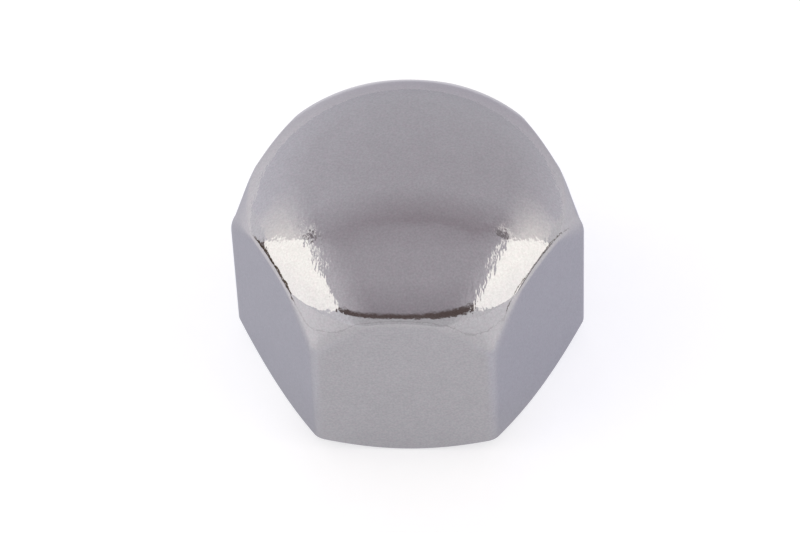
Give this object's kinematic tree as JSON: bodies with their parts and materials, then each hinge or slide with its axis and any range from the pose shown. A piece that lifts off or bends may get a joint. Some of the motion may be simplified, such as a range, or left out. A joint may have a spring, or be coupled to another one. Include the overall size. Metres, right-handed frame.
{
  "type": "cap nut",
  "caption": "Low-form hexagon cap nut with a shallow domed crown and a blind internal thread, plated steel.",
  "frame": {"origin": "centre of the flat seating face, on the thread axis", "axes": "+Z along the thread axis from the seating face up to the crown; one flat of the hexagon faces -Y and two corners lie on the X axis"},
  "size_m": [0.0194, 0.017, 0.014],
  "materials": {
    "plated_steel": "satin"
  },
  "bodies": {
    "root": {"cap_nut": "plated_steel"}
  },
  "joints": []
}
